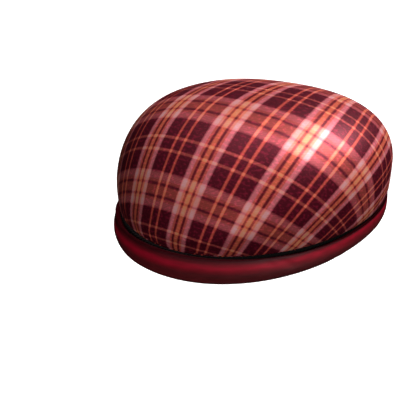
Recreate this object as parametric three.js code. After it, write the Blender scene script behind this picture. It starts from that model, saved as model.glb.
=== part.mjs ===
import * as THREE from 'three';

// Flat cap at rest on its band: a domed cloth crown, a thin cord in the seam and a padded roll round the head.
// Millimetres, +Z up, front of the cap towards -Y, its left side towards +X.
// Angles run round the head as seen from above: 0 at the left side, 90 at the back, 270 at the front.

// Sizes that drive the cap
const CLOTH = 2;
const SEWN_GAP = 0.3;
const CORD_RADIUS = 1.8;
const SEAT_HEIGHT = 13.5;
const BAND_DEPTH = 9;
const BAND_SWELL = 2.5;
const BAND_TURN_UNDER = 6.5;
const CROWN_TOP = 89.5;
const APEX_AHEAD = 13.2;

// Ovals seen from above. Reaches are measured from the widest line of the band, and ahead is how far in front of
// it the oval itself is widest; squareness 2 is an ellipse
const OVALS = {
  bulge: { halfWidth: 92.6, front: 118.3, back: 105.4, ahead: 7.6, square: 1.92 },
  seam: { halfWidth: 88.7, front: 116.3, back: 103, ahead: 3, square: 2.05 },
  cord: { halfWidth: 85.8, front: 117.6, back: 101.3, ahead: 0, square: 2.05 },
};

// A row for each face of the cap. over and rise say how squarely the crown rounds over from its bulge to its
// top, across and upwards; bandOut is how far the roll stands out from the cord, bandHeight is its crest.
const FACES = {
  front: { seamHeight: 17.8, bulgeHeight: 25.2, over: 2.52, rise: 1.2, bandOut: 9.4, bandHeight: 19.2 },
  side: { seamHeight: 18.6, bulgeHeight: 42.1, over: 2.67, rise: 2.29, bandOut: 4.1, bandHeight: 14.6 },
  back: { seamHeight: 19, bulgeHeight: 34.1, over: 2.04, rise: 1.92, bandOut: 5.2, bandHeight: 15 },
};

// Flats that the round forms are cut into
const FLATS_ROUND = 64;
const FLATS_UNDER_BULGE = 5;
const FLATS_OVER_BULGE = 14;
const FLATS_CORD = 10;
const FLATS_ROLL = 5;
const FLATS_CREST = 3;
const FLATS_HEAD_SIDE = 5;

const QUARTER = Math.PI / 2;

// Value of a column of FACES at an angle, blended from the side row to the front or the back row
function face(column, angle) {
  const ahead = -Math.sin(angle);
  const end = ahead > 0 ? FACES.front : FACES.back;
  return THREE.MathUtils.lerp(FACES.side[column], end[column], ahead ** 2);
}

// Point of an oval at an angle, on a superellipse whose front and back halves have their own reach
function ovalPoint({ halfWidth, front, back, ahead, square }, angle) {
  const across = Math.cos(angle);
  const along = Math.sin(angle);
  const reach = along < 0 ? front - ahead : back + ahead;
  const scale = (Math.abs(across) ** square + Math.abs(along) ** square) ** (-1 / square);
  return new THREE.Vector2(halfWidth * across * scale, reach * along * scale - ahead);
}

// Point at a distance out from the cord's line, square to it in plan, at a height
function besideCord(angle, out, height) {
  const step = 0.001;
  const here = ovalPoint(OVALS.cord, angle);
  const ahead = ovalPoint(OVALS.cord, angle + step);
  const behind = ovalPoint(OVALS.cord, angle - step);
  const way = ahead.sub(behind).normalize();
  return new THREE.Vector3(here.x + way.y * out, here.y - way.x * out, height);
}

// Stretch of an ellipse in a section, both ends included
function arc(centreOut, centreUp, radiusOut, radiusUp, from, to, flats) {
  return Array.from({ length: flats + 1 }, (_, i) => {
    const turn = THREE.MathUtils.lerp(from, to, i / flats);
    return [centreOut + radiusOut * Math.cos(turn), centreUp + radiusUp * Math.sin(turn)];
  });
}

// Sections all the way round the head, one for each flat
function roundTheHead(section) {
  return Array.from({ length: FLATS_ROUND }, (_, i) => section((4 * QUARTER * i) / FLATS_ROUND));
}

function meshGeometry(points, triangles) {
  const geometry = new THREE.BufferGeometry();
  geometry.setAttribute('position', new THREE.Float32BufferAttribute(points.flatMap((p) => p.toArray()), 3));
  geometry.setIndex(triangles);
  geometry.computeVertexNormals();
  return geometry;
}

// Two triangles over four corners that run counter-clockwise
function quad(a, b, c, d) {
  return [a, b, c, a, c, d];
}

// Closed ring whose sections are closed loops, counter-clockwise with the outside on the right
function ringGeometry(sections) {
  const size = sections[0].length;
  const triangles = sections.flatMap((section, i) => {
    const next = (i + 1) % sections.length;
    return section.flatMap((_, k) => {
      const above = (k + 1) % size;
      return quad(i * size + k, next * size + k, next * size + above, i * size + above);
    });
  });
  return meshGeometry(sections.flat(), triangles);
}

// Outside of the crown at one angle, from the hem behind the cord, over the bulge, to just short of the top
function crownSection(angle) {
  const seam = ovalPoint(OVALS.seam, angle);
  const bulge = ovalPoint(OVALS.bulge, angle);
  const seamHeight = face('seamHeight', angle);
  const bulgeHeight = face('bulgeHeight', angle);
  const hemOut = -CORD_RADIUS - SEWN_GAP;
  const points = [
    besideCord(angle, hemOut, SEAT_HEIGHT + SEWN_GAP),
    besideCord(angle, hemOut, seamHeight),
  ];
  for (let i = 0; i <= FLATS_UNDER_BULGE; i++) {
    const turn = QUARTER * (1 - i / FLATS_UNDER_BULGE);
    const plan = seam.clone().lerp(bulge, Math.cos(turn));
    const height = THREE.MathUtils.lerp(bulgeHeight, seamHeight, Math.sin(turn));
    points.push(new THREE.Vector3(plan.x, plan.y, height));
  }
  for (let i = 1; i < FLATS_OVER_BULGE; i++) {
    const turn = (QUARTER * i) / FLATS_OVER_BULGE;
    const spread = Math.cos(turn) ** (2 / face('over', angle));
    const climb = Math.sin(turn) ** (2 / face('rise', angle));
    const plan = new THREE.Vector2(0, -APEX_AHEAD).lerp(bulge, spread);
    points.push(new THREE.Vector3(plan.x, plan.y, THREE.MathUtils.lerp(bulgeHeight, CROWN_TOP, climb)));
  }
  return points;
}

// Faces of a domed skin: rows of a section run upwards, the last vertex is the apex
function domeTriangles(columns, rows) {
  const triangles = [];
  for (let i = 0; i < columns; i++) {
    const here = i * rows;
    const next = ((i + 1) % columns) * rows;
    for (let k = 0; k < rows - 1; k++) {
      triangles.push(...quad(here + k, next + k, next + k + 1, here + k + 1));
    }
    triangles.push(here + rows - 1, next + rows - 1, columns * rows);
  }
  return triangles;
}

// Cloth shell: the outer skin, the same skin set in by the cloth's thickness, and the hem's edge between them
function crownGeometry() {
  const sections = roundTheHead(crownSection);
  const rows = sections[0].length;
  const outer = [...sections.flat(), new THREE.Vector3(0, -APEX_AHEAD, CROWN_TOP)];
  const outerFaces = domeTriangles(FLATS_ROUND, rows);
  const normal = meshGeometry(outer, outerFaces).getAttribute('normal');
  const inner = outer.map((point, i) => {
    return point.clone().addScaledVector(new THREE.Vector3().fromBufferAttribute(normal, i), -CLOTH);
  });
  const innerFaces = outerFaces.map((vertex) => vertex + outer.length).reverse();
  const edgeFaces = sections.flatMap((_, i) => {
    const here = i * rows;
    const next = ((i + 1) % FLATS_ROUND) * rows;
    return quad(here, here + outer.length, next + outer.length, next);
  });
  return meshGeometry([...outer, ...inner], [...outerFaces, ...innerFaces, ...edgeFaces]);
}

// Cord laid on the band's seat
function pipingSection(angle) {
  const height = SEAT_HEIGHT + SEWN_GAP + CORD_RADIUS;
  return arc(0, height, CORD_RADIUS, CORD_RADIUS, 0, 4 * QUARTER, FLATS_CORD)
    .slice(1)
    .map(([out, up]) => besideCord(angle, out, up));
}

// Padded roll: flat base, round outer face, crest beside the cord, level seat and a soft head side
function bandSection(angle) {
  const out = face('bandOut', angle);
  const top = face('bandHeight', angle);
  const groove = CORD_RADIUS + SEWN_GAP;
  const crest = (groove + out) / 2;
  const headSide = BAND_SWELL - BAND_DEPTH;
  const outline = [
    ...arc(out - BAND_TURN_UNDER, top / 2, BAND_TURN_UNDER, top / 2, -QUARTER, 0, FLATS_ROLL),
    ...arc(crest, top / 2, out - crest, top / 2, 0, QUARTER, FLATS_ROLL).slice(1),
    ...arc(crest, SEAT_HEIGHT, crest - groove, top - SEAT_HEIGHT, QUARTER, 2 * QUARTER, FLATS_CREST).slice(1),
    ...arc(headSide, SEAT_HEIGHT / 2, BAND_SWELL, SEAT_HEIGHT / 2, QUARTER, 3 * QUARTER, FLATS_HEAD_SIDE),
  ];
  return outline.map(([across, up]) => besideCord(angle, across, up));
}

// Meshes of the cap
function piece(name, geometry, color, roughness) {
  const material = new THREE.MeshStandardMaterial({ color, roughness, metalness: 0 });
  const mesh = new THREE.Mesh(geometry, material);
  mesh.name = name;
  return mesh;
}

const cap = new THREE.Group();
cap.add(piece('crown', crownGeometry(), 0x6e2530, 0.75));
cap.add(piece('piping', ringGeometry(roundTheHead(pipingSection)), 0x0d0c0d, 0.6));
cap.add(piece('band', ringGeometry(roundTheHead(bandSection)), 0x5a0f18, 0.55));

// The cap's box is centred on the origin, front to back
const frontReach = OVALS.cord.front + FACES.front.bandOut;
const backReach = OVALS.cord.back + FACES.back.bandOut;
cap.position.y = (frontReach - backReach) / 2;

export default cap;
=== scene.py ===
# %% [markdown]
# # A flat cap: plaid crown, black piping and a padded roll
#
# The cap is three sewn pieces: a domed crown of plaid cloth, a thin cord in the seam under it, and a
# padded roll round the head that carries both. Their plain solids come in first as a fixed frame, at
# their real size and place, and each one is then replaced by a finer piece of the same form. Everything
# below is in the solids' own frame: +Z is up, the front of the cap faces -Y and the wearer's left is
# +X. The cap's sizes are written in millimetres, as a hatter would, and turned to metres when a mesh is
# made. Those of the stage are in metres.

# %% Load the solids
import math

import bpy
import numpy as np
from mathutils import Matrix, Vector


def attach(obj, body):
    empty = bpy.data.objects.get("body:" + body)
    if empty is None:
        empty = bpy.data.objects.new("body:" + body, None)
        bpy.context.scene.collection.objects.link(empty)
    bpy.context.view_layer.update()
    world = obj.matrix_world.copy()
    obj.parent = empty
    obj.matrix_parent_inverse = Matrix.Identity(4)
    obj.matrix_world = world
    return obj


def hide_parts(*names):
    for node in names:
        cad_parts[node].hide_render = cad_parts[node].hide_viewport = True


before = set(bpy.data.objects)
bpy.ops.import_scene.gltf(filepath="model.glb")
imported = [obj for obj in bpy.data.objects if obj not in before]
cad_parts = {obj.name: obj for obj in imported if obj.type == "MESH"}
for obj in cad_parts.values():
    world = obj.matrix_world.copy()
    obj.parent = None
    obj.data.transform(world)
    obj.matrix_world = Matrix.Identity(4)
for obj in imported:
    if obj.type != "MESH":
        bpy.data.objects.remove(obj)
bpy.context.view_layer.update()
MM = 0.001
print("solids:", sorted(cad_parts))

# %% [markdown]
# ## Camera
#
# The camera comes first, so that every piece can be judged from the right place. A camera could be
# aimed by eye, but an object seen from half a metre away has a strong perspective, so the eye's
# distance matters as much as its angle. The eye is therefore given as steps along the view's own three
# directions: right, up and back from the point of the floor under the widest line of the roll.

# %% Camera
WIDEST_Y = 10.25
VIEW_AZIMUTH = 33.68
VIEW_ELEVATION = 25.74
EYE_RIGHT, EYE_UP, EYE_BACK = -37.2, -4.0, 519.2
FOCAL_PIXELS, IMAGE_PIXELS = 696.0, 420.0
SENSOR_WIDTH = 36.0
NEAREST_SEEN = 0.01


def view_directions(azimuth, elevation):
    """Right, up and back of a level camera. Azimuth 0 looks along +Y, and elevation lifts the eye over
    the floor."""
    a, e = math.radians(azimuth), math.radians(elevation)
    right = Vector((math.cos(a), math.sin(a), 0))
    back = Vector((math.sin(a) * math.cos(e), -math.cos(a) * math.cos(e), math.sin(e)))
    return right, back.cross(right), back


def facing(place, azimuth, elevation):
    """Matrix of a camera or a lamp at a place, looking back along the direction of azimuth and
    elevation."""
    return Matrix.Translation(place) @ Matrix(view_directions(azimuth, elevation)).transposed().to_4x4()


right, up, back = view_directions(VIEW_AZIMUTH, VIEW_ELEVATION)
eye = (Vector((0, WIDEST_Y, 0)) + right * EYE_RIGHT + up * EYE_UP + back * EYE_BACK) * MM
camera_data = bpy.data.cameras.new("camera")
camera_data.sensor_width = SENSOR_WIDTH
camera_data.lens = SENSOR_WIDTH * FOCAL_PIXELS / IMAGE_PIXELS
camera_data.clip_start = NEAREST_SEEN
camera = bpy.data.objects.new("camera", camera_data)
camera.matrix_world = facing(eye, VIEW_AZIMUTH, VIEW_ELEVATION)
bpy.context.scene.collection.objects.link(camera)
bpy.context.scene.camera = camera
print("eye at", [round(v, 3) for v in eye], "lens", round(camera_data.lens, 2), "mm")

# %% [markdown]
# ## The cap's rings and faces
#
# A hat is drafted from a few ovals round the head and from its profile at the front, the sides and the
# back. Here each oval is a superellipse, which is an ellipse with a setting for squareness, and whose
# front and back halves have their own reach. Heights and roundness are given for the three faces and
# blended by the square of the sine of the angle, so nothing has a corner where the faces meet. Angles
# run round the head as seen from above: 0 at the left side, 90 degrees at the back and 270 at the
# front.

# %% Rings and faces
OVALS = {
    "bulge": {"half_width": 92.6, "front": 118.3, "back": 105.4, "ahead": 7.6, "square": 1.92},
    "seam": {"half_width": 88.7, "front": 116.3, "back": 103.0, "ahead": 3.0, "square": 2.05},
    "cord": {"half_width": 85.8, "front": 117.6, "back": 101.3, "ahead": 0.0, "square": 2.05},
}
FACES = {
    "seam_height": {"front": 17.8, "side": 18.6, "back": 19.0},
    "bulge_height": {"front": 25.2, "side": 42.1, "back": 34.1},
    "over": {"front": 2.52, "side": 2.67, "back": 2.04},
    "rise": {"front": 1.2, "side": 2.29, "back": 1.92},
    "band_out": {"front": 9.4, "side": 4.1, "back": 5.2},
    "band_height": {"front": 19.2, "side": 14.6, "back": 15.0},
}
SMALL_STEP = 0.001


def oval(name, angle):
    """Points of an oval, as columns x and y: the unit circle is scaled by (|cos|^n + |sin|^n)^(-1/n),
    then by the half-width across and by the front or the back reach along, and moved ahead of the
    roll's widest line."""
    ring = OVALS[name]
    across, along = np.cos(angle), np.sin(angle)
    scale = (abs(across) ** ring["square"] + abs(along) ** ring["square"]) ** (-1 / ring["square"])
    reach = np.where(along < 0, ring["front"] - ring["ahead"], ring["back"] + ring["ahead"])
    y = reach * along * scale - ring["ahead"] + WIDEST_Y
    return np.stack([ring["half_width"] * across * scale, y], -1)


def face(name, angle):
    """Value of a face's size at an angle: the side's, moved to the front's or the back's by sine
    squared."""
    row = FACES[name]
    end = np.where(np.sin(angle) < 0, row["front"], row["back"])
    return row["side"] + (end - row["side"]) * np.sin(angle) ** 2


def beside_cord(angle, out, height):
    """Points at a distance out from the cord's line, square to it as seen from above, at a height. The
    line's own way is taken from two of its points, a small step before and after."""
    way = oval("cord", angle + SMALL_STEP) - oval("cord", angle - SMALL_STEP)
    way = way / np.linalg.norm(way, axis=-1, keepdims=True)
    line = oval("cord", angle)
    x = line[..., 0] + way[..., 1] * out
    y = line[..., 1] - way[..., 0] * out
    return np.stack(np.broadcast_arrays(x, y, height), -1)


def round_the_head(columns):
    """Angles of the columns of a grid and, as a last one, of the first column again."""
    return np.linspace(0, 2 * np.pi, columns + 1)


def length_along(angle):
    """Length of the cord's line from the first angle to each of them, in mm."""
    steps = np.linalg.norm(np.diff(oval("cord", angle), axis=0), axis=1)
    return np.concatenate([[0], np.cumsum(steps)])


GIRTH_STEPS = 1440
girth = length_along(round_the_head(GIRTH_STEPS))[-1]
print("cord line is", round(girth), "mm round")

# %% [markdown]
# ## From a grid of points to a mesh
#
# Every piece here is a grid of points: one direction runs round the head, the other along a section.
# Blender can build such surfaces with its own curve and screw tools, but a grid made with numpy keeps
# the formula in sight and gives quads in straight rows, which shade cleanly and carry a pattern well.
# One function turns a grid into an object. It can close the section into a ring, or close the grid over
# a pole, and it lays a UV map named cloth on the faces, corner by corner, so that a pattern can run on
# where the grid closes.

# %% Mesh from a grid


def grid_piece(name, grid, cloth, ring_section=False, pole=None, pole_cloth=None):
    """Object through grid[row, column], in mm. Columns close round the head; rows end, or close if
    ring_section. cloth[row, column] gives the UV map, with one column more than the grid and, on a
    ring, one row more. A pole is one more point that the last row fans out to. Faces point out where
    rows go up or anticlockwise."""
    rows, columns = grid.shape[:2]
    row, column = np.mgrid[0 : rows if ring_section else rows - 1, 0:columns]
    corner_row = np.stack([row, row, row + 1, row + 1], -1).reshape(-1, 4)
    corner_column = np.stack([column, column + 1, column + 1, column], -1).reshape(-1, 4)
    faces = (corner_row % rows * columns + corner_column % columns).tolist()
    flat = cloth[corner_row, corner_column].reshape(-1, 2)
    points = grid.reshape(-1, 3)
    if pole is not None:
        here = np.arange(columns)
        fan = np.stack([here, (here + 1) % columns, np.full(columns, columns)], -1) + (rows - 1) * columns
        faces += fan.tolist()
        points = np.vstack([points, pole])
        tip = np.broadcast_to(pole_cloth, (columns, 2))
        flat = np.vstack([flat, np.stack([cloth[-1, :-1], cloth[-1, 1:], tip], 1).reshape(-1, 2)])
    mesh = bpy.data.meshes.new(name)
    mesh.from_pydata((points * MM).tolist(), [], faces)
    mesh.shade_smooth()
    mesh.uv_layers.new(name="cloth").data.foreach_set("uv", flat.astype(np.float32).ravel())
    piece = bpy.data.objects.new(name, mesh)
    bpy.context.scene.collection.objects.link(piece)
    print(name, "has", len(mesh.vertices), "points and", len(mesh.polygons), "faces")
    return piece


# %% [markdown]
# ## The crown
#
# The crown of a flat cap is cloth that was cut, sewn and steamed into a dome. It swells out over the
# roll at the sides and the back, and slopes down at the front to a low, soft fold. It could be
# sculpted, or draped over a head by simulation, but a pressed crown keeps its form by itself, so a
# formula gives it more exactly: each section turns out from the seam to the bulge on a quarter of an
# ellipse, and from there over to the top on a quarter of a superellipse whose two settings say how
# squarely it rounds over across and upwards. Where the cloth is eased into the seam it puckers a
# little, and the puckers die away within a finger's width.

# %% Crown surface
CLOTH = 2.0
SEWN_GAP = 0.3
CORD_RADIUS = 1.8
SEAT_HEIGHT = 13.5
CROWN_TOP = 89.5
APEX = np.array([0, WIDEST_Y - 13.2, CROWN_TOP])
PUCKER = 0.3
PUCKER_REACH = 4.0
PUCKERS_ROUND = (53, 71, 89)


def puckers(angle):
    """Uneven ripple between -1 and 1: the mean of three sines that go a different number of times
    round."""
    return np.mean([np.sin(count * angle + count) for count in PUCKERS_ROUND], axis=0)


def crown_grid(angle, hem_rows=6, under_rows=20, over_rows=90):
    """Outside of the crown, rows going up: the hem behind the cord, the turn under the bulge and the
    dome. Under the bulge: plan = seam + (bulge - seam) cos t, height = bulge height + (seam height -
    bulge height) sin t. Over it: plan = apex + (bulge - apex) cos t^(2/over), height = bulge height +
    (top - bulge height) sin t^(2/rise). Puckers then move points out by ripple * s e^(1 - s), s being
    the length from the seam over PUCKER_REACH."""
    seam, bulge = oval("seam", angle), oval("bulge", angle)
    seam_height, bulge_height = face("seam_height", angle), face("bulge_height", angle)
    share = np.linspace(0, 1, hem_rows)[:, None]
    foot = SEAT_HEIGHT + SEWN_GAP
    hem = beside_cord(angle, -CORD_RADIUS - SEWN_GAP, foot + (seam_height - foot) * share)
    turn = np.linspace(np.pi / 2, 0, under_rows)[:, None]
    plan = seam + (bulge - seam) * np.cos(turn)[..., None]
    under = np.dstack([plan, bulge_height + (seam_height - bulge_height) * np.sin(turn)])
    turn = np.linspace(0, np.pi / 2, over_rows + 1)[1:-1, None]
    plan = APEX[:2] + (bulge - APEX[:2]) * (np.cos(turn) ** (2 / face("over", angle)))[..., None]
    climb = np.sin(turn) ** (2 / face("rise", angle))
    over = np.dstack([plan, bulge_height + (CROWN_TOP - bulge_height) * climb])
    free = np.concatenate([under, over])
    steps = np.linalg.norm(np.diff(free, axis=0, prepend=free[:1]), axis=-1)
    from_seam = np.cumsum(steps, axis=0) / PUCKER_REACH
    out = beside_cord(angle, 1, 0) - beside_cord(angle, 0, 0)
    free = free + out * (PUCKER * puckers(angle) * from_seam * np.exp(1 - from_seam))[..., None]
    return np.concatenate([hem, free])


CROWN_COLUMNS = 288
crown_angle = round_the_head(CROWN_COLUMNS)
crown_points = crown_grid(crown_angle)
print("crown grid", crown_points.shape, "highest", crown_points[..., 2].max().round(1), "mm")

# %% [markdown]
# ## The lie of the cloth
#
# Plaid shows how a cloth lies: its stripes run straight on the bolt and bend only where the crown was
# shaped. So the pattern needs each point's place on the flat cloth. A planar projection would stretch
# the stripes down the sides. Instead each section is rolled out flat from the top of the crown, keeping
# its length and its direction, and a cubic polynomial then says how far the steamed cloth was
# stretched, shrunk and turned away from the top. Its numbers were fitted to the stripes that can be
# seen, by least squares in another program, and then rounded, and a few were changed by hand. Past
# those stripes the pattern eases into an even lie, within a hand's width.

# %% Cloth coordinates
# Rows are powers of x, to the wearer's left, and y, to the back, in decimetres. The columns are the
# cloth's own millimetres across the stripes and along them.
LIE = {
    "": {"across": 88, "along": 51.5},
    "x": {"across": 99, "along": 4},
    "y": {"across": 4.5, "along": -117},
    "xx": {"across": -16, "along": -9},
    "xy": {"across": 22, "along": 27},
    "yy": {"across": 0, "along": -20},
    "xxx": {"across": 20, "along": 15},
    "xxy": {"across": -6, "along": -26},
    "xyy": {"across": 22, "along": 19},
    "yyy": {"across": 0, "along": -27},
}
DECIMETRE = 100.0
SEEN_X = (-0.74, 1.16)
SEEN_Y = (-1.32, 0.41)
EVEN_LIE = {"across": 110, "along": -115}
EASE = 0.35


def within(value, low, high):
    """Value as it is from low to high; past either end it still moves on, by EASE (1 - e^(-d / EASE))
    at a distance d, so that it comes to rest without a kink."""
    over, under = np.maximum(value - high, 0), np.maximum(low - value, 0)
    return np.clip(value, low, high) + EASE * (np.exp(-under / EASE) - np.exp(-over / EASE))


def cloth_coordinates(grid, angle):
    """Flat place of each point of the crown, in mm. Rolled out, a point lies at its distance from the
    top along the section, in the section's direction. The sum of LIE's terms at that place is its place
    on the cloth; past what is seen, x or y is held back and what is left of it goes on at the even
    rate."""
    top = np.broadcast_to(APEX, grid[:1].shape)
    steps = np.linalg.norm(np.diff(grid, axis=0, append=top), axis=-1)
    distance = np.cumsum(steps[::-1], axis=0)[::-1]
    way = oval("bulge", angle) - APEX[:2]
    way = way / np.linalg.norm(way, axis=-1, keepdims=True)
    x, y = distance * way[:, 0] / DECIMETRE, distance * way[:, 1] / DECIMETRE
    near_x, near_y = within(x, *SEEN_X), within(y, *SEEN_Y)
    powers = {term: near_x ** term.count("x") * near_y ** term.count("y") for term in LIE}
    across = sum(row["across"] * powers[term] for term, row in LIE.items())
    along = sum(row["along"] * powers[term] for term, row in LIE.items())
    evenly_on = [EVEN_LIE["across"] * (x - near_x), EVEN_LIE["along"] * (y - near_y)]
    return np.stack([across + evenly_on[0], along + evenly_on[1]], -1)


crown_cloth = cloth_coordinates(crown_points, crown_angle) * MM
top_cloth = np.array([LIE[""]["across"], LIE[""]["along"]]) * MM
crown = grid_piece("plaid_crown", crown_points[:, :-1], crown_cloth, pole=APEX, pole_cloth=top_cloth)
wall = crown.modifiers.new("cloth_thickness", "SOLIDIFY")
wall.thickness = CLOTH * MM
wall.offset = -1
cloth_span = np.ptp(crown_cloth.reshape(-1, 2), axis=0) / MM
print("the cloth spans", np.round(cloth_span).tolist(), "mm across and along")

# %% [markdown]
# ## The piping
#
# The black line between crown and roll is a cord sewn into the seam. A smooth tube would do from afar,
# but a cord is twisted from strands, and the light breaks on them. The section is a round with three
# lobes, and it turns as it is carried along the seam, a whole number of times, so that the ends meet.

# %% Piping
STRANDS = 3
LAY_LENGTH = 9.0
STRAND_DEPTH = 0.16


def piping_grid(angle, turn, twist):
    """Cord round the seam. Its radius is R (1 - depth (1 - |cos(n p / 2)|)) for n strands, where p is
    the angle round the section less the twist."""
    lobes = abs(np.cos(STRANDS / 2 * (turn - twist)))
    radius = CORD_RADIUS * (1 - STRAND_DEPTH * (1 - lobes))
    height = SEAT_HEIGHT + SEWN_GAP + CORD_RADIUS + radius * np.sin(turn)
    return beside_cord(angle, radius * np.cos(turn), height)


CORD_COLUMNS, CORD_ROWS = 1800, 18
cord_angle = round_the_head(CORD_COLUMNS)
cord_turn = np.linspace(0, 2 * np.pi, CORD_ROWS + 1)[:, None]
lays = round(girth / LAY_LENGTH)
cord_twist = 2 * np.pi * lays * length_along(cord_angle) / girth
cord_points = piping_grid(cord_angle, cord_turn, cord_twist)
cord_cloth = np.stack(np.broadcast_arrays(cord_twist, cord_turn), -1) / (2 * np.pi)
piping = grid_piece("twisted_piping", cord_points[:-1, :-1], cord_cloth, ring_section=True)
print("cord of", STRANDS, "strands turns", lays, "times in", round(girth), "mm")

# %% [markdown]
# ## The padded roll
#
# The roll is a tube of cloth stuffed with wadding. It lies flat where it rests, has a level seat inside
# that the crown and the cord are sewn to, and stands out further at the front, like a very short brim.
# A swept curve would keep one section all round, so here the section is drawn with arcs whose sizes
# change from face to face. It is drawn a little slimmer than the finished roll, to leave room for the
# stuffing.

# %% Padded roll
BAND_DEPTH = 9.0
BAND_SWELL = 2.5
BAND_TURN_UNDER = 6.5
STUFFING_ROOM = 1.2
SECTION_ROWS = {"turn_under": 11, "outer_face": 9, "crest": 5, "seat": 5, "head_side": 13, "base": 5}


def arc(centre_out, centre_up, radius_out, radius_up, start, end, rows):
    """Stretch of an ellipse in a section: out = centre + radius cos t, up = centre + radius sin t, in
    degrees."""
    turn = np.radians(np.linspace(start, end, rows, endpoint=False))[:, None]
    out, up = centre_out + radius_out * np.cos(turn), centre_up + radius_up * np.sin(turn)
    return np.stack(np.broadcast_arrays(out, up), -1)


def straight(start_out, end_out, height, rows):
    """Level stretch of a section, from one distance out to another."""
    share = np.linspace(0, 1, rows, endpoint=False)[:, None]
    out = start_out + (end_out - start_out) * share
    return np.stack(np.broadcast_arrays(out, np.full_like(out, height)), -1)


def band_grid(angle, slim):
    """Roll round the head, its section anticlockwise in the stretches of SECTION_ROWS. slim draws the
    outer face and the head side in by that many mm."""
    rows = SECTION_ROWS
    out, top = face("band_out", angle) - slim, face("band_height", angle)
    groove = np.full_like(out, CORD_RADIUS + SEWN_GAP)
    crest = (groove + out) / 2
    under = face("band_out", angle) - BAND_TURN_UNDER
    head = np.full_like(out, BAND_SWELL - BAND_DEPTH)
    stretches = [
        arc(under, top / 2, out - under, top / 2, -90, 0, rows["turn_under"]),
        arc(crest, top / 2, out - crest, top / 2, 0, 90, rows["outer_face"]),
        arc(crest, SEAT_HEIGHT, crest - groove, top - SEAT_HEIGHT, 90, 180, rows["crest"]),
        straight(groove, head, SEAT_HEIGHT, rows["seat"]),
        arc(head, SEAT_HEIGHT / 2, BAND_SWELL - slim, SEAT_HEIGHT / 2, 90, 270, rows["head_side"]),
        straight(head, under, 0.0, rows["base"]),
    ]
    section = np.concatenate(stretches)
    return beside_cord(angle, section[..., 0], section[..., 1])


BAND_COLUMNS = 400
band_angle = round_the_head(BAND_COLUMNS)
band_points = band_grid(band_angle, STUFFING_ROOM)
print("roll grid", band_points.shape, "section of", sum(SECTION_ROWS.values()), "points")

# %% [markdown]
# ## A map for the roll's cloth
#
# The roll's tones, which are its dye with a painted highlight and painted shade, follow the way its cloth
# faces, not its height, because the roll is slim at the sides and full at the front. So the map has the
# length along the roll in one direction, and in the other the share of a full turn by which the section
# has leaned over: 0 where it faces down, a quarter where it faces out and a half where it faces up. From
# the crest on, where nothing is seen of it, the share just goes on evenly.

# %% Roll map


def lean(radius_out, radius_up, start, end, rows):
    """Share of a turn that an arc's outside has leaned over from facing down: the direction that it
    faces has the tangent (radius out / radius up) * tan t, and a quarter turn is added to it."""
    turn = np.radians(np.linspace(start, end, rows, endpoint=False))[:, None]
    return 0.25 + np.arctan2(np.sin(turn) * radius_out, np.cos(turn) * radius_up) / (2 * np.pi)


def band_lean(angle):
    """Lean of every point of the roll's section, in the rows of band_grid and with a last row of 1."""
    out, top = face("band_out", angle), face("band_height", angle)
    under = np.full_like(out, BAND_TURN_UNDER)
    outside = out - (CORD_RADIUS + SEWN_GAP + out) / 2
    outer = [
        lean(under, top / 2, -90, 0, SECTION_ROWS["turn_under"]),
        lean(outside, top / 2, 0, 90, SECTION_ROWS["outer_face"]),
    ]
    hidden_rows = sum(SECTION_ROWS.values()) - sum(len(stretch) for stretch in outer)
    rest = np.broadcast_to(np.linspace(0.5, 1, hidden_rows + 1)[:, None], (hidden_rows + 1, len(angle)))
    return np.concatenate([*outer, rest])


band_cloth = np.stack(np.broadcast_arrays(length_along(band_angle) * MM, band_lean(band_angle)), -1)
band = grid_piece("padded_roll", band_points[:, :-1], band_cloth, ring_section=True)

# %% [markdown]
# ## Stuffing the roll
#
# Wadding pushes the cloth out from inside, evenly, and the cloth answers with soft swells between the
# seams. They could be painted on, but Blender's Cloth gives them by itself: pressure acts inside the
# closed tube, gravity is off, and the points of the seat, the groove, the base and the turn beside it
# are held, as the stitches and the table hold them. The cloth is cut very slightly large, so that it has
# some slack to swell with. Twenty frames are enough. No point may move further than a set limit, so that
# the roll keeps its outline, and the moved points become the mesh itself.

# %% Stuffing
PRESSURE = 4.0
CUT_LARGE = 0.0025
FARTHEST_MOVE = 1.0
STUFFING_FRAMES = 20
HELD_TURN_ROWS = 4
LEAST_MOVE = 1e-9


def stuff(piece, held):
    """Blow a closed piece up by cloth simulation, with the held points fixed, and keep the result in
    its mesh."""
    mesh = piece.data
    piece.vertex_groups.new(name="stitched").add(held.tolist(), 1.0, "REPLACE")
    cloth = piece.modifiers.new("wadding", "CLOTH")
    cloth.settings.use_pressure = True
    cloth.settings.uniform_pressure_force = PRESSURE
    cloth.settings.shrink_min = -CUT_LARGE
    cloth.settings.vertex_group_mass = "stitched"
    cloth.settings.effector_weights.gravity = 0
    cloth.collision_settings.use_collision = False
    cloth.collision_settings.use_self_collision = False
    before = np.empty(len(mesh.vertices) * 3, np.float32)
    mesh.vertices.foreach_get("co", before)
    for step in range(1, STUFFING_FRAMES + 1):
        bpy.context.scene.frame_set(step)
    blown = piece.evaluated_get(bpy.context.evaluated_depsgraph_get()).data
    after = np.empty_like(before)
    blown.vertices.foreach_get("co", after)
    move = (after - before).reshape(-1, 3)
    length = np.linalg.norm(move, axis=1, keepdims=True)
    move = move * np.minimum(1, FARTHEST_MOVE * MM / np.maximum(length, LEAST_MOVE))
    piece.modifiers.remove(cloth)
    piece.vertex_groups.clear()
    stuffed = before.reshape(-1, 3) + move
    stuffed[:, 2] = np.maximum(stuffed[:, 2], 0)
    mesh.vertices.foreach_set("co", stuffed.ravel())
    mesh.update()
    bpy.context.scene.frame_set(1)
    swelled = np.round([length.mean() / MM, length.max() / MM], 2).tolist()
    print(piece.name, "swelled by this many mm, on average and at most:", swelled)


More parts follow.
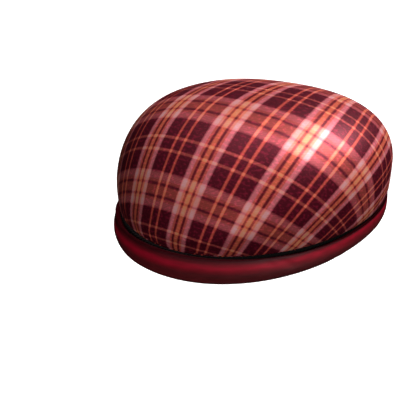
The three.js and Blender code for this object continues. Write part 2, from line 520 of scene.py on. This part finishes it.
band_rows = np.arange(len(band_points))
ends = dict(zip(SECTION_ROWS, np.cumsum(list(SECTION_ROWS.values()))))
on_base = (band_rows <= HELD_TURN_ROWS) | (band_rows >= ends["head_side"])
on_seat = (band_rows >= ends["crest"] - 1) & (band_rows <= ends["seat"])
stitched = on_base | on_seat
held = (band_rows[stitched][:, None] * BAND_COLUMNS + np.arange(BAND_COLUMNS)).ravel()
stuff(band, held)

# %% [markdown]
# ## Tying the pieces to the frame
#
# Nothing on this cap moves by itself, so all three pieces ride on the one body. Each one stands for the
# solid of the same place, which is hidden.

# %% Frame
TIES = {
    "crown": {"piece": crown, "slot": "plaid_cloth"},
    "piping": {"piece": piping, "slot": "black_cord"},
    "band": {"piece": band, "slot": "red_padding"},
}
for node, tie in TIES.items():
    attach(tie["piece"], "root")
    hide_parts(node)
print("tied:", {node: tie["piece"].name for node, tie in TIES.items()})

# %% [markdown]
# ## Colours and nodes
#
# Colours are written as the hex values that a picture shows, which are sRGB, and Blender's shaders work
# in linear light, so one function turns the first into the second. Another adds a node with its
# settings and its links, which keeps each material to a short list of what feeds what. A Mix node has
# sockets for numbers, vectors and colours side by side, so those for colours get names here.

# %% Helpers for materials
SHARE, FIRST, SECOND, MIXED = 0, 6, 7, 2


def linear(hex_colour):
    """Linear RGBA of an sRGB hex colour: each channel is (c + 0.055) / 1.055 to the power 2.4."""
    channels = np.array([int(hex_colour[i : i + 2], 16) for i in (1, 3, 5)]) / 255
    return (*np.where(channels <= 0.04045, channels / 12.92, ((channels + 0.055) / 1.055) ** 2.4), 1.0)


def add(tree, kind, inputs=None, stops=None, **settings):
    """New node of a kind with its settings. inputs gives values, or other nodes' sockets to link; stops
    gives the places and colours of a colour ramp."""
    node = tree.nodes.new(kind)
    for name, value in settings.items():
        setattr(node, name, value)
    for name, value in (inputs or {}).items():
        if isinstance(value, bpy.types.NodeSocket):
            tree.links.new(value, node.inputs[name])
        else:
            node.inputs[name].default_value = value
    for i, (place, colour) in enumerate(stops or []):
        stop = node.color_ramp.elements[i] if i < 2 else node.color_ramp.elements.new(place)
        stop.position = place
        stop.color = linear(colour)
    return node


def new_material(piece, name, settings):
    """Material with a Principled shader, put on a piece. settings are the shader's own constant
    values."""
    material = bpy.data.materials.new(name)
    material.use_nodes = True
    shader = material.node_tree.nodes["Principled BSDF"]
    for socket, value in settings.items():
        shader.inputs[socket].default_value = value
    piece.data.materials.append(material)
    print("material", name, "on", piece.name)
    return material.node_tree, shader


# %% [markdown]
# ## Plaid cloth: the yarns
#
# A plaid is not printed: it is woven from two sets of coloured yarn. The warp gives the stripes that
# run from the front of the cap to the back, the weft gives those that run across, and each set repeats
# mirrored about its middle stripe. An image would give the pattern at one size only, so each set is a
# colour ramp over half of its repeat. The coordinate of the flat cloth is folded back and forth into
# that half by a ping-pong. The warp's ramp holds the colours that show on the dark ground, and the
# weft's holds what its yarns add to them.

# %% Plaid yarns
# Wool and silk twill, woven and pressed: the eye gets soft-edged stripes, a fine diagonal and a satin
# light that takes the colour of the yarns, which a part of Metallic and a crimson tint of the gloss
# give.
SILK_LIGHT = linear("#ff7c8e")
plaid_tree, plaid_shader = new_material(
    crown,
    "pressed_wool_and_silk_twill_plaid",
    {"Metallic": 0.35, "Specular IOR Level": 0.5, "Specular Tint": SILK_LIGHT},
)
WARP_REPEAT = 47.0
WEFT_REPEAT = 92.0
WARP_STRIPES = [
    (0.0, "#be603a"),
    (0.045, "#ba5c3a"),
    (0.09, "#461010"),
    (0.135, "#461010"),
    (0.175, "#aa4d3c"),
    (0.215, "#ae503e"),
    (0.245, "#ba6b6b"),
    (0.335, "#ba6b6b"),
    (0.4, "#32060c"),
    (0.79, "#32060c"),
    (0.832, "#b04a34"),
    (0.864, "#b04a34"),
    (0.906, "#32060c"),
    (1.0, "#32060c"),
]
WEFT_STRIPES = [
    (0.0, "#4d2b16"),
    (0.08, "#4d2b16"),
    (0.12, "#040201"),
    (0.155, "#040201"),
    (0.19, "#502c1a"),
    (0.22, "#522e1c"),
    (0.25, "#5e3a31"),
    (0.355, "#5e3a31"),
    (0.415, "#000000"),
    (0.822, "#000000"),
    (0.848, "#502e1a"),
    (0.872, "#502e1a"),
    (0.898, "#000000"),
    (1.0, "#000000"),
]
cloth_place = add(plaid_tree, "ShaderNodeUVMap", uv_map="cloth")
cloth_axes = add(plaid_tree, "ShaderNodeSeparateXYZ", {"Vector": cloth_place.outputs["UV"]})
yarns = []
for axis, repeat, stripes in (("X", WARP_REPEAT, WARP_STRIPES), ("Y", WEFT_REPEAT, WEFT_STRIPES)):
    half_repeats = {0: cloth_axes.outputs[axis], 1: 2 / (repeat * MM)}
    counted = add(plaid_tree, "ShaderNodeMath", half_repeats, operation="MULTIPLY")
    folded = add(plaid_tree, "ShaderNodeMath", {0: counted.outputs[0], 1: 1.0}, operation="PINGPONG")
    yarns.append(add(plaid_tree, "ShaderNodeValToRGB", {"Fac": folded.outputs[0]}, stops=stripes))
print("warp repeats every", WARP_REPEAT, "mm and weft every", WEFT_REPEAT, "mm")

# %% [markdown]
# ## Plaid cloth: the weave
#
# In a twill each yarn passes over two and under two, one step on in every row, which draws the fine
# diagonal: it makes the weft stronger and weaker by turns. Yarns are uneven too, so a noise of a few
# yarns' width adds crimson specks, which leave the dark squares slightly mottled.

# %% Plaid weave
# A real yarn here is about 0.45 mm wide, too fine to show; it is drawn at 0.7 mm.
YARN = 0.7
MOTTLE = 2.6
WEFT_LEAST, WEFT_MOST = 0.93, 1.07
CRIMSON_SPECKS = [(0.5, "#1e040b"), (0.76, "#5a1024")]
both_axes = {0: cloth_axes.outputs["X"], 1: cloth_axes.outputs["Y"]}
diagonal = add(plaid_tree, "ShaderNodeMath", both_axes, operation="ADD")
two_yarns = {0: diagonal.outputs[0], 1: 1 / (2 * YARN * MM)}
floats = add(plaid_tree, "ShaderNodeMath", two_yarns, operation="MULTIPLY")
twill = add(plaid_tree, "ShaderNodeMath", {0: floats.outputs[0], 1: 1.0}, operation="PINGPONG")
weft_share = {"Value": twill.outputs[0], "To Min": WEFT_LEAST, "To Max": WEFT_MOST}
weft_on_top = add(plaid_tree, "ShaderNodeMapRange", weft_share)
uneven = {"Vector": cloth_place.outputs["UV"], "Scale": 1 / (MOTTLE * MM), "Detail": 2.0}
mottle = add(plaid_tree, "ShaderNodeTexNoise", uneven)
specks = add(plaid_tree, "ShaderNodeValToRGB", {"Fac": mottle.outputs["Fac"]}, stops=CRIMSON_SPECKS)
print("twill of", YARN, "mm yarns, mottled at", MOTTLE, "mm")

# %% [markdown]
# ## Plaid cloth: adding up the yarns
#
# Where two bright stripes cross, both yarns show and the square is paler than either stripe. Mixing
# half of each would make it darker instead. The colours are therefore added, in the eye's own scale,
# which is linear light to the power 1 / 2.2, and the sum is turned back to linear light. Large, faint
# patches of shade then take the evenness off the dye, and hold the brightest yarn to what dyed wool
# gives back.

# %% Plaid colour
EYE_GAMMA = 2.2
SHADE_PATCH = 35.0
SHADES = [(0.3, "#d4d0d0"), (0.7, "#e4e4e4")]
seen_warp, seen_weft, seen_specks = [
    add(plaid_tree, "ShaderNodeGamma", {"Color": ramp.outputs["Color"], "Gamma": 1 / EYE_GAMMA})
    for ramp in (*yarns, specks)
]
in_full = {"data_type": "RGBA", "clamp_result": True}
weft_part = add(
    plaid_tree,
    "ShaderNodeMix",
    {SHARE: 1.0, FIRST: seen_weft.outputs["Color"], SECOND: weft_on_top.outputs["Result"]},
    blend_type="MULTIPLY",
    **in_full,
)
seen_colour = seen_warp.outputs["Color"]
for more in (weft_part.outputs[MIXED], seen_specks.outputs["Color"]):
    sum_of_yarns = {SHARE: 1.0, FIRST: seen_colour, SECOND: more}
    added = add(plaid_tree, "ShaderNodeMix", sum_of_yarns, blend_type="ADD", **in_full)
    seen_colour = added.outputs[MIXED]
woven = add(plaid_tree, "ShaderNodeGamma", {"Color": seen_colour, "Gamma": EYE_GAMMA})
faint = {"Vector": cloth_place.outputs["UV"], "Scale": 1 / (SHADE_PATCH * MM), "Detail": 3.0}
patches = add(plaid_tree, "ShaderNodeTexNoise", faint)
shades = add(plaid_tree, "ShaderNodeValToRGB", {"Fac": patches.outputs["Fac"]}, stops=SHADES)
plaid_colour = add(
    plaid_tree,
    "ShaderNodeMix",
    {SHARE: 1.0, FIRST: woven.outputs["Color"], SECOND: shades.outputs["Color"]},
    blend_type="MULTIPLY",
    **in_full,
)
plaid_tree.links.new(plaid_colour.outputs[MIXED], plaid_shader.inputs["Base Color"])
print("shaded in patches of", SHADE_PATCH, "mm")

# %% [markdown]
# ## Plaid cloth: the surface
#
# The yarns stand up a little, and pressing leaves them with a satin light that is uneven along them.
# The height of the twill goes into a bump, because modelled yarns would need millions of faces, and the
# roughness follows the mottle.

# %% Plaid surface
YARN_HEIGHT = 0.12
TWILL_PART = 0.5
PRESSED, RAISED = 0.36, 0.5
heights = {0: twill.outputs[0], 1: TWILL_PART, 2: mottle.outputs["Fac"]}
relief = add(plaid_tree, "ShaderNodeMath", heights, operation="MULTIPLY_ADD")
standing = {"Strength": 0.2, "Distance": YARN_HEIGHT * MM, "Height": relief.outputs[0]}
bump = add(plaid_tree, "ShaderNodeBump", standing)
satin_light = {"Value": mottle.outputs["Fac"], "To Min": PRESSED, "To Max": RAISED}
gloss = add(plaid_tree, "ShaderNodeMapRange", satin_light)
plaid_tree.links.new(bump.outputs["Normal"], plaid_shader.inputs["Normal"])
plaid_tree.links.new(gloss.outputs["Result"], plaid_shader.inputs["Roughness"])
print("plaid material has", len(plaid_tree.nodes), "nodes")

# %% [markdown]
# ## Black cord
#
# The piping is cotton cord dyed black. Its strands are in the mesh already; what is left is the fibre
# on them, which runs along each strand and takes the shine off. The UV map counts turns along and round
# the cord, so the difference of the two follows a strand, and a sine of it draws the fibres.

# %% Cord material
# Dyed cotton, twisted: the eye gets a soft black with fine streaks along the twist.
FIBRES_ROUND = 24
FIBRE_HEIGHT = 0.08
BETWEEN_FIBRES, ON_FIBRES = 0.42, 0.55
BLACKS = [(0.0, "#050505"), (1.0, "#101010")]
cord_tree, cord_shader = new_material(piping, "twisted_black_cotton_cord", {"Specular IOR Level": 0.25})
cord_place = add(cord_tree, "ShaderNodeUVMap", uv_map="cloth")
cord_axes = add(cord_tree, "ShaderNodeSeparateXYZ", {"Vector": cord_place.outputs["UV"]})
round_and_along = {0: cord_axes.outputs["Y"], 1: cord_axes.outputs["X"]}
strand = add(cord_tree, "ShaderNodeMath", round_and_along, operation="SUBTRACT")
fibre_angle = {0: strand.outputs[0], 1: 2 * np.pi * FIBRES_ROUND}
fibre_turn = add(cord_tree, "ShaderNodeMath", fibre_angle, operation="MULTIPLY")
fibre = add(cord_tree, "ShaderNodeMath", {0: fibre_turn.outputs[0]}, operation="SINE")
dyed = add(cord_tree, "ShaderNodeValToRGB", {"Fac": fibre.outputs[0]}, stops=BLACKS)
fibre_relief = {"Strength": 0.4, "Distance": FIBRE_HEIGHT * MM, "Height": fibre.outputs[0]}
fibre_bump = add(cord_tree, "ShaderNodeBump", fibre_relief)
fibre_light = {"Value": fibre.outputs[0], "To Min": BETWEEN_FIBRES, "To Max": ON_FIBRES}
cord_gloss = add(cord_tree, "ShaderNodeMapRange", fibre_light)
cord_tree.links.new(dyed.outputs["Color"], cord_shader.inputs["Base Color"])
cord_tree.links.new(fibre_bump.outputs["Normal"], cord_shader.inputs["Normal"])
cord_tree.links.new(cord_gloss.outputs["Result"], cord_shader.inputs["Roughness"])
print("cord material has", len(cord_tree.nodes), "nodes")

# %% [markdown]
# ## Dark red satin
#
# The roll is covered with satin, dyed dark red, and its light is painted into that colour. A bright
# crimson line all along its outer face is a painted highlight; the sides above and below it are painted
# shade, darkest towards the seam under the crown, and the turn underneath is painted lighter and greyer,
# as painted light and sheen from below. A gradient by height would be wrong where the roll changes its
# size, so a colour ramp follows the lean that the map holds. Fine ribs run along the roll, broken up by
# a stretched noise.

# %% Satin material
# Woven satin over wadding: the eye gets a thread-fine rib, and the ramp paints a highlight line along the
# roll, painted shade on the sides and a lighter, greyer painted underside. The places of the tones are
# the map's lean.
SATIN_TONES_WITH_PAINTED_LIGHT = [
    (0.0, "#61181e"),
    (0.19, "#581519"),
    (0.235, "#511217"),
    (0.25, "#561016"),
    (0.262, "#750719"),
    (0.275, "#950722"),
    (0.288, "#88071f"),
    (0.31, "#580613"),
    (0.35, "#33040a"),
    (0.42, "#2b0308"),
    (0.5, "#270307"),
    (0.62, "#270307"),
    (0.8, "#49060e"),
    (1.0, "#61181e"),
]
RIBS_ROUND_SECTION = 60
RIB_HEIGHT = 0.08
SATIN_STREAK = 9.0
SLEEK, RUBBED = 0.56, 0.68
STREAKS = [(0.3, "#d8d4d4"), (0.7, "#ffffff")]
satin_tree, satin_shader = new_material(band, "dark_red_woven_satin", {"Specular IOR Level": 0.3})
satin_place = add(satin_tree, "ShaderNodeUVMap", uv_map="cloth")
satin_axes = add(satin_tree, "ShaderNodeSeparateXYZ", {"Vector": satin_place.outputs["UV"]})
# The ramp paints the roll's highlight and shade into its dark red base colour, by lean.
satin_painted_light_tone = add(satin_tree, "ShaderNodeValToRGB", {"Fac": satin_axes.outputs["Y"]}, stops=SATIN_TONES_WITH_PAINTED_LIGHT)
streak_scale = (1 / (SATIN_STREAK * MM), RIBS_ROUND_SECTION, 1.0)
stretched = {"Vector": satin_place.outputs["UV"], "Scale": streak_scale}
streak_place = add(satin_tree, "ShaderNodeMapping", stretched)
ribs = {"Vector": streak_place.outputs["Vector"], "Scale": 1.0, "Detail": 3.0}
streaks = add(satin_tree, "ShaderNodeTexNoise", ribs)
streak_tone = add(satin_tree, "ShaderNodeValToRGB", {"Fac": streaks.outputs["Fac"]}, stops=STREAKS)
satin_colour = add(
    satin_tree,
    "ShaderNodeMix",
    {SHARE: 1.0, FIRST: satin_painted_light_tone.outputs["Color"], SECOND: streak_tone.outputs["Color"]},
    data_type="RGBA",
    blend_type="MULTIPLY",
)
rib_relief = {"Strength": 0.3, "Distance": RIB_HEIGHT * MM, "Height": streaks.outputs["Fac"]}
satin_bump = add(satin_tree, "ShaderNodeBump", rib_relief)
rib_light = {"Value": streaks.outputs["Fac"], "To Min": SLEEK, "To Max": RUBBED}
satin_gloss = add(satin_tree, "ShaderNodeMapRange", rib_light)
satin_tree.links.new(satin_colour.outputs[MIXED], satin_shader.inputs["Base Color"])
satin_tree.links.new(satin_bump.outputs["Normal"], satin_shader.inputs["Normal"])
satin_tree.links.new(satin_gloss.outputs["Result"], satin_shader.inputs["Roughness"])
print("satin material has", len(satin_tree.nodes), "nodes")

# %% [markdown]
# ## Floor
#
# The cap stands on a plain pale sheet, large enough to fill the picture and lit from below, as on a
# light table, which keeps it white to the edges. So bright a sheet would throw much light up at the
# dark side of the cap, so it is kept out of what the cap's surfaces gather, as a studio does with dark
# cards just outside of the picture.

# %% Floor
FLOOR_HALF = 1.5
floor_data = bpy.data.meshes.new("floor")
floor_corners = [(-1, -1), (1, -1), (1, 1), (-1, 1)]
floor_points = [(x * FLOOR_HALF, y * FLOOR_HALF, 0) for x, y in floor_corners]
floor_data.from_pydata(floor_points, [], [(0, 1, 2, 3)])
floor = bpy.data.objects.new("floor", floor_data)
bpy.context.scene.collection.objects.link(floor)
floor.visible_diffuse = False
floor.visible_glossy = False
# Uncoated paper, lit through: the eye gets an even white without a shine.
PAPER = linear("#f2f1f0")
paper_settings = {"Base Color": PAPER, "Emission Color": PAPER, "Emission Strength": 0.6}
new_material(floor, "matt_pale_paper", {**paper_settings, "Roughness": 0.9, "Specular IOR Level": 0.0})

# %% [markdown]
# ## Light
#
# Cloth like this shows best when colour and shine are lit apart. Four lamps act on colour alone: a
# strong one from the cap's left, one from the front, a low one that reaches under the roll, and one for
# the far side. Of these only the front lamp throws a shadow, because the others would lay theirs across
# the floor. Three more act on gloss alone, and each is linked to the pieces that it is meant for: two
# above and behind the cap draw the silk light on the shoulder and over the top of the crown, and one
# low at its left gives the roll a soft bloom. All of them are square panels, three metres off, so the
# light is soft. Very little comes from all around, so that the light falls off into dark red, and the
# backdrop is white to the camera alone.

# %% Light
AROUND = 0.006
BACKDROP = 1.0
LAMP_DISTANCE = 3.0
LAMPS = {
    "key": {"from": (120, 55), "size": 1.2, "watts": 120, "acts_on": "diffuse", "shadow": False},
    "front": {"from": (20, 28), "size": 1.5, "watts": 26, "acts_on": "diffuse", "shadow": True},
    "low": {"from": (36, 4), "size": 0.4, "watts": 13, "acts_on": "diffuse", "shadow": False},
    "far": {"from": (-146, 10), "size": 1.0, "watts": 50, "acts_on": "diffuse", "shadow": False},
    "shine": {"from": (147, 54), "size": 1.5, "watts": 135, "acts_on": "glossy", "shadow": True},
    "gleam": {"from": (-115, 76), "size": 1.6, "watts": 26, "acts_on": "glossy", "shadow": True},
    "bloom": {"from": (80, 4), "size": 1.0, "watts": 45, "acts_on": "glossy", "shadow": True},
}
LIT_ALONE = {"shine": (crown, piping), "gleam": (crown, piping), "bloom": (band,)}
world = bpy.data.worlds.new("studio")
world.use_nodes = True
around = world.node_tree.nodes["Background"]
around.inputs["Color"].default_value = (1, 1, 1, 1)
ray = add(world.node_tree, "ShaderNodeLightPath")
seen = {"Value": ray.outputs["Is Camera Ray"], "To Min": AROUND, "To Max": BACKDROP}
strength = add(world.node_tree, "ShaderNodeMapRange", seen)
world.node_tree.links.new(strength.outputs["Result"], around.inputs["Strength"])
bpy.context.scene.world = world
bpy.context.scene.view_settings.view_transform = "Standard"
for name, lamp in LAMPS.items():
    data = bpy.data.lights.new(name, "AREA")
    data.size = lamp["size"]
    data.energy = lamp["watts"]
    data.use_shadow = lamp["shadow"]
    softbox = bpy.data.objects.new(name, data)
    toward = view_directions(*lamp["from"])[2]
    softbox.matrix_world = facing(toward * LAMP_DISTANCE, *lamp["from"])
    softbox.visible_diffuse = lamp["acts_on"] == "diffuse"
    softbox.visible_glossy = lamp["acts_on"] == "glossy"
    if name in LIT_ALONE:
        lit = bpy.data.collections.new(name + "_lights")
        for piece in LIT_ALONE[name]:
            lit.objects.link(piece)
        softbox.light_linking.receiver_collection = lit
    bpy.context.scene.collection.objects.link(softbox)
print("lamps:", {name: lamp["watts"] for name, lamp in LAMPS.items()}, "W, all around", AROUND)
